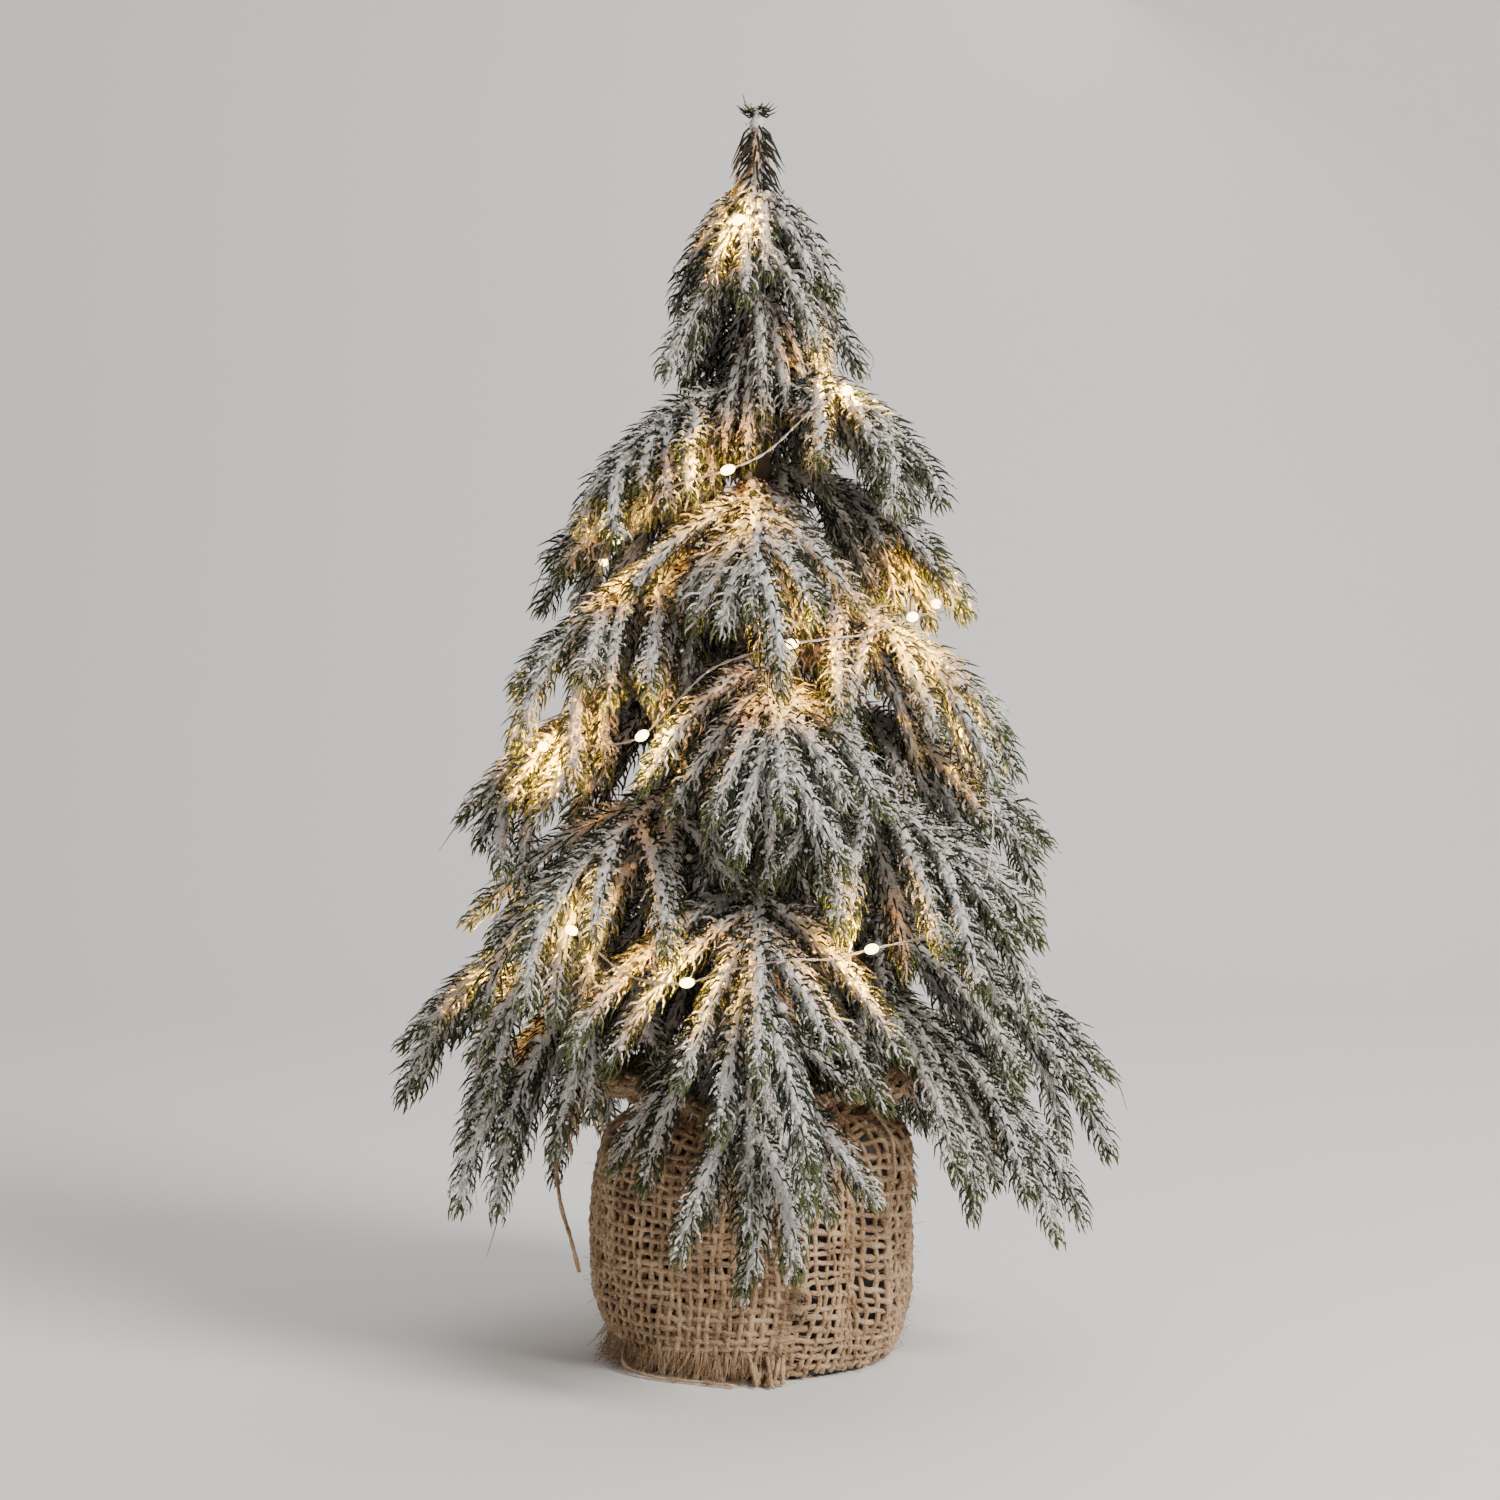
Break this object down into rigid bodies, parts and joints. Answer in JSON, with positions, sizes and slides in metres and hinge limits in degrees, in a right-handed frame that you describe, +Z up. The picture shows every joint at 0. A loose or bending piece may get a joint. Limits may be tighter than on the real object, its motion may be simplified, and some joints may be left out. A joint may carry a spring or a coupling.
{
  "type": "artificial tabletop tree",
  "caption": "Small flocked artificial conifer with drooping wired branches, wound micro lights, a hessian-wrapped weighted pot and a battery case under it.",
  "frame": {"origin": "on the surface that the pot stands on, under the trunk's axis", "axes": "+Z up along the trunk, -Y towards the viewer, +X to the viewer's right"},
  "size_m": [0.2566, 0.2566, 0.45],
  "materials": {
    "flocked_needles": "moulded green needles under white-grey flock, yellow-green at the tips",
    "hessian": "open woven natural jute, frayed edges",
    "jute_twine": "twisted jute",
    "paper_tape": "dark crepe paper tape",
    "pot_plastic": "matt black moulding",
    "plaster": "cast plaster",
    "steel": "plain steel",
    "contact_metal": "nickel-plated contacts",
    "case_plastic": "off-white moulding",
    "knob_plastic": "black moulding",
    "cell_jacket": "printed steel jacket, plain",
    "circuit_board": "green circuit board",
    "lamps_and_wire": "clear resin lamps on fine silver wire, warm white when lit"
  },
  "bodies": {
    "base": {"battery_case": "case_plastic", "bridge_contact": "contact_metal", "case_screw_1": "steel", "case_screw_2": "steel", "cast_weight": "plaster", "cell_1": "cell_jacket", "cell_2": "cell_jacket", "hessian_wrap": "hessian", "light_string": "lamps_and_wire", "plate_contact": "contact_metal", "pot": "pot_plastic", "spring_contact": "contact_metal", "switch_can": "steel", "timer_board": "circuit_board", "top_sprig": "flocked_needles", "trunk_rod": "steel", "trunk_tape": "paper_tape", "twine_tie": "jute_twine"},
    "switch": {"switch_knob": "knob_plastic"},
    "battery_door": {"battery_door": "case_plastic"},
    "branch_skirt_1": {"branch_skirt_1": "flocked_needles"},
    "branch_skirt_2": {"branch_skirt_2": "flocked_needles"},
    "branch_skirt_3": {"branch_skirt_3": "flocked_needles"},
    "branch_skirt_4": {"branch_skirt_4": "flocked_needles"},
    "branch_skirt_5": {"branch_skirt_5": "flocked_needles"},
    "branch_lower_1": {"branch_lower_1": "flocked_needles"},
    "branch_lower_2": {"branch_lower_2": "flocked_needles"},
    "branch_lower_3": {"branch_lower_3": "flocked_needles"},
    "branch_lower_4": {"branch_lower_4": "flocked_needles"},
    "branch_broad_1": {"branch_broad_1": "flocked_needles"},
    "branch_broad_2": {"branch_broad_2": "flocked_needles"},
    "branch_broad_3": {"branch_broad_3": "flocked_needles"},
    "branch_broad_4": {"branch_broad_4": "flocked_needles"},
    "branch_middle_1": {"branch_middle_1": "flocked_needles"},
    "branch_middle_2": {"branch_middle_2": "flocked_needles"},
    "branch_middle_3": {"branch_middle_3": "flocked_needles"},
    "branch_middle_4": {"branch_middle_4": "flocked_needles"},
    "branch_upper_1": {"branch_upper_1": "flocked_needles"},
    "branch_upper_2": {"branch_upper_2": "flocked_needles"},
    "branch_upper_3": {"branch_upper_3": "flocked_needles"},
    "branch_high_1": {"branch_high_1": "flocked_needles"},
    "branch_high_2": {"branch_high_2": "flocked_needles"},
    "branch_high_3": {"branch_high_3": "flocked_needles"},
    "branch_crown_1": {"branch_crown_1": "flocked_needles"},
    "branch_crown_2": {"branch_crown_2": "flocked_needles"},
    "branch_crown_3": {"branch_crown_3": "flocked_needles"}
  },
  "joints": [
    {"name": "switch_slide", "type": "slide", "parent": "base", "child": "switch", "axis": [0, 1, 0], "range_m": [-0.004, 0]},
    {"name": "battery_door_hinge", "type": "hinge", "parent": "base", "child": "battery_door", "pos_m": [0.03535, 0, 0.00642], "axis": [0, 1, 0], "range_deg": [-90, 0]},
    {"name": "skirt_1_bend", "type": "hinge", "parent": "base", "child": "branch_skirt_1", "pos_m": [-0.00019, -0.008, 0.1382], "axis": [-0.9997, 0.0239, 0], "range_deg": [-2, 7], "deforming": ["light_string"]},
    {"name": "skirt_2_bend", "type": "hinge", "parent": "base", "child": "branch_skirt_2", "pos_m": [0.00766, -0.0023, 0.1426], "axis": [-0.2873, -0.9578, 0], "range_deg": [-2, 7], "deforming": ["light_string"]},
    {"name": "skirt_3_bend", "type": "hinge", "parent": "base", "child": "branch_skirt_3", "pos_m": [0.00445, 0.00665, 0.147], "axis": [0.831, -0.5562, 0], "range_deg": [-2, 7], "deforming": ["light_string"]},
    {"name": "skirt_4_bend", "type": "hinge", "parent": "base", "child": "branch_skirt_4", "pos_m": [-0.00467, 0.00649, 0.1514], "axis": [0.8117, 0.584, 0], "range_deg": [-2, 7], "deforming": ["light_string"]},
    {"name": "skirt_5_bend", "type": "hinge", "parent": "base", "child": "branch_skirt_5", "pos_m": [-0.00759, -0.00253, 0.1558], "axis": [-0.3166, 0.9486, 0], "range_deg": [-2, 7], "deforming": ["light_string"]},
    {"name": "lower_1_bend", "type": "hinge", "parent": "base", "child": "branch_lower_1", "pos_m": [0.008, 0, 0.16174], "axis": [0, -1, 0], "range_deg": [-6, 5], "deforming": ["light_string"]},
    {"name": "lower_2_bend", "type": "hinge", "parent": "base", "child": "branch_lower_2", "pos_m": [0, 0.008, 0.16724], "axis": [1, 0, 0], "range_deg": [-6, 5], "deforming": ["light_string"]},
    {"name": "lower_3_bend", "type": "hinge", "parent": "base", "child": "branch_lower_3", "pos_m": [-0.008, 0, 0.17274], "axis": [0, 1, 0], "range_deg": [-6, 5], "deforming": ["light_string"]},
    {"name": "lower_4_bend", "type": "hinge", "parent": "base", "child": "branch_lower_4", "pos_m": [0, -0.008, 0.17824], "axis": [-1, 0, 0], "range_deg": [-6, 5], "deforming": ["light_string"]},
    {"name": "broad_1_bend", "type": "hinge", "parent": "base", "child": "branch_broad_1", "pos_m": [0.00571, 0.0056, 0.19978], "axis": [0.7001, -0.714, 0], "range_deg": [-4, 10], "deforming": ["light_string"]},
    {"name": "broad_2_bend", "type": "hinge", "parent": "base", "child": "branch_broad_2", "pos_m": [-0.00587, 0.00544, 0.20528], "axis": [0.6795, 0.7337, 0], "range_deg": [-4, 10], "deforming": ["light_string"]},
    {"name": "broad_3_bend", "type": "hinge", "parent": "base", "child": "branch_broad_3", "pos_m": [-0.00558, -0.00573, 0.21078], "axis": [-0.7165, 0.6976, 0], "range_deg": [-4, 10], "deforming": ["light_string"]},
    {"name": "broad_4_bend", "type": "hinge", "parent": "base", "child": "branch_broad_4", "pos_m": [0.00589, -0.00541, 0.21628], "axis": [-0.6768, -0.7362, 0], "range_deg": [-4, 10], "deforming": ["light_string"]},
    {"name": "middle_1_bend", "type": "hinge", "parent": "base", "child": "branch_middle_1", "pos_m": [0.00797, 0.00072, 0.23782], "axis": [0.0895, -0.996, 0], "range_deg": [-8, 5], "deforming": ["light_string"]},
    {"name": "middle_2_bend", "type": "hinge", "parent": "base", "child": "branch_middle_2", "pos_m": [-0.00123, 0.00791, 0.24332], "axis": [0.9881, 0.1535, 0], "range_deg": [-8, 5], "deforming": ["light_string"]},
    {"name": "middle_3_bend", "type": "hinge", "parent": "base", "child": "branch_middle_3", "pos_m": [-0.00788, -0.0014, 0.24882], "axis": [-0.1753, 0.9845, 0], "range_deg": [-8, 5], "deforming": ["light_string"]},
    {"name": "middle_4_bend", "type": "hinge", "parent": "base", "child": "branch_middle_4", "pos_m": [0.00072, -0.00797, 0.25432], "axis": [-0.996, -0.0895, 0], "range_deg": [-8, 5], "deforming": ["light_string"]},
    {"name": "upper_1_bend", "type": "hinge", "parent": "base", "child": "branch_upper_1", "pos_m": [0.00702, -0.00384, 0.27677], "axis": [-0.4796, -0.8775, 0], "range_deg": [-5, 8], "deforming": ["light_string"]},
    {"name": "upper_2_bend", "type": "hinge", "parent": "base", "child": "branch_upper_2", "pos_m": [-0.00068, 0.00797, 0.2841], "axis": [0.9963, 0.0857, 0], "range_deg": [-5, 8], "deforming": ["light_string"]},
    {"name": "upper_3_bend", "type": "hinge", "parent": "base", "child": "branch_upper_3", "pos_m": [-0.00675, -0.00429, 0.29144], "axis": [-0.536, 0.8442, 0], "range_deg": [-5, 8], "deforming": ["light_string"]},
    {"name": "high_1_bend", "type": "hinge", "parent": "base", "child": "branch_high_1", "pos_m": [-0.00013, -0.008, 0.31272], "axis": [-0.9999, 0.0166, 0], "range_deg": [-6, 7], "deforming": ["light_string"]},
    {"name": "high_2_bend", "type": "hinge", "parent": "base", "child": "branch_high_2", "pos_m": [0.00707, 0.00375, 0.32005], "axis": [0.4688, -0.8833, 0], "range_deg": [-6, 7], "deforming": ["light_string"]},
    {"name": "high_3_bend", "type": "hinge", "parent": "base", "child": "branch_high_3", "pos_m": [-0.00703, 0.00382, 0.32738], "axis": [0.4774, 0.8787, 0], "range_deg": [-6, 7], "deforming": ["light_string"]},
    {"name": "crown_1_bend", "type": "hinge", "parent": "base", "child": "branch_crown_1", "pos_m": [-0.00673, -0.00432, 0.34867], "axis": [-0.54, 0.8417, 0], "range_deg": [-5, 15], "deforming": ["light_string"]},
    {"name": "crown_2_bend", "type": "hinge", "parent": "base", "child": "branch_crown_2", "pos_m": [0.00711, -0.00368, 0.356], "axis": [-0.4597, -0.8881, 0], "range_deg": [-5, 15], "deforming": ["light_string"]},
    {"name": "crown_3_bend", "type": "hinge", "parent": "base", "child": "branch_crown_3", "pos_m": [-0.00004, 0.008, 0.36333], "axis": [1, 0.0045, 0], "range_deg": [-5, 15], "deforming": ["light_string"]}
  ]
}
